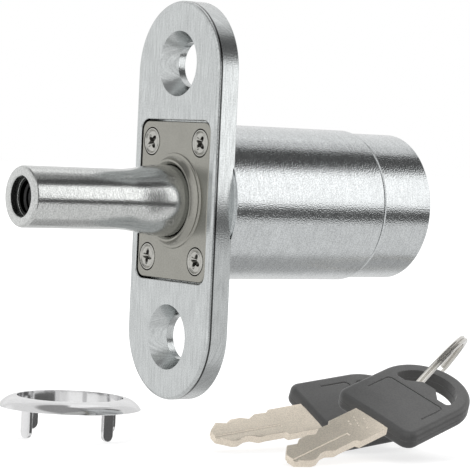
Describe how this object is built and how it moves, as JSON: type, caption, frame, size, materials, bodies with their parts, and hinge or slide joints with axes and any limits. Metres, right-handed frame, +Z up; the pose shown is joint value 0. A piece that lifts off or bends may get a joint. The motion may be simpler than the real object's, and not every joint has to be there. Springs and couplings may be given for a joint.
{
  "type": "sliding door cylinder lock",
  "caption": "Push cylinder lock with a stadium flange plate, a long bolt through a collar, a round keyed housing, a pronged receiving ring and keys on a split ring",
  "frame": {"origin": "on the lock's axis, on the flange plate's mounting face, midway between its two screw holes", "axes": "+X runs along the lock's axis out of the mounting face towards the key side, +Z up along the flange plate, +Y across it"},
  "size_m": [0.0799, 0.0527, 0.064],
  "materials": {
    "satin_nickel": "satin nickel, brushed along the plate",
    "warm_nickel": "satin nickel with a warmer tint",
    "turned_nickel": "satin nickel, turned",
    "bolt_steel": "bright turned steel",
    "screw_steel": "plated bright",
    "pin_steel": "ground steel",
    "spring_steel": "drawn spring wire",
    "core_brass": "machined brass",
    "trim_chrome": "polished chrome",
    "ring_nickel": "nickel plated, flat wire",
    "key_nickel": "nickel plated, warm tint",
    "head_plastic": "moulded satin black"
  },
  "bodies": {
    "lock_body": {"flange_plate": "satin_nickel", "guide_plate": "warm_nickel", "guide_plate_screws": "screw_steel", "housing_sleeve": "turned_nickel", "front_ring": "turned_nickel", "travel_pin": "pin_steel", "return_spring": "spring_steel"},
    "push_cylinder": {"push_barrel": "turned_nickel", "barrel_end_plug": "core_brass", "face_cap": "trim_chrome", "bolt_tube": "bolt_steel", "bolt_cross_pin": "pin_steel"},
    "key_core": {"cylinder_core": "core_brass", "core_cam": "pin_steel", "cam_screw": "pin_steel"},
    "slide": {"locking_slide": "pin_steel"},
    "upper_tumblers": {"tumblers_up": "core_brass"},
    "lower_tumblers": {"tumblers_down": "core_brass"},
    "loose_ring": {"receiving_ring": "trim_chrome"},
    "key_ring": {"split_ring": "ring_nickel"},
    "near_key": {"near_key_blade": "key_nickel", "near_key_head": "head_plastic"},
    "far_key": {"far_key_blade": "key_nickel", "far_key_head": "head_plastic"}
  },
  "joints": [
    {"name": "cylinder_push", "type": "slide", "parent": "lock_body", "child": "push_cylinder", "axis": [1, 0, 0], "range_m": [0, 0.009], "deforming": ["return_spring"]},
    {"name": "core_turn", "type": "hinge", "parent": "push_cylinder", "child": "key_core", "pos_m": [0, 0, 0], "axis": [1, 0, 0], "range_deg": [0, 90]},
    {"name": "locking_slide_lift", "type": "slide", "parent": "push_cylinder", "child": "slide", "axis": [0, 0, 1], "range_m": [0, 0.0012]},
    {"name": "tumblers_up_travel", "type": "slide", "parent": "key_core", "child": "upper_tumblers", "axis": [0, 0, 1], "range_m": [0, 0.0006]},
    {"name": "tumblers_down_travel", "type": "slide", "parent": "key_core", "child": "lower_tumblers", "axis": [0, 0, -1], "range_m": [0, 0.0006]},
    {"name": "receiving_ring_lift", "type": "slide", "parent": "lock_body", "child": "loose_ring", "axis": [0, 0, 1], "range_m": [0, 0.015]},
    {"name": "key_ring_lift", "type": "slide", "parent": "lock_body", "child": "key_ring", "axis": [0, 0, 1], "range_m": [0, 0.01]},
    {"name": "near_key_swing", "type": "hinge", "parent": "key_ring", "child": "near_key", "pos_m": [0.03681, -0.00764, -0.02612], "axis": [-0.4586, 0.4139, -0.7863], "range_deg": [0, 12]},
    {"name": "far_key_swing", "type": "hinge", "parent": "key_ring", "child": "far_key", "pos_m": [0.03612, -0.00226, -0.032], "axis": [0.3048, 0.7909, -0.5307], "range_deg": [0, 12]}
  ],
  "couplings": [
    {"joint": "locking_slide_lift", "follows": "core_turn", "m_per_rad": 0.00076394}
  ]
}
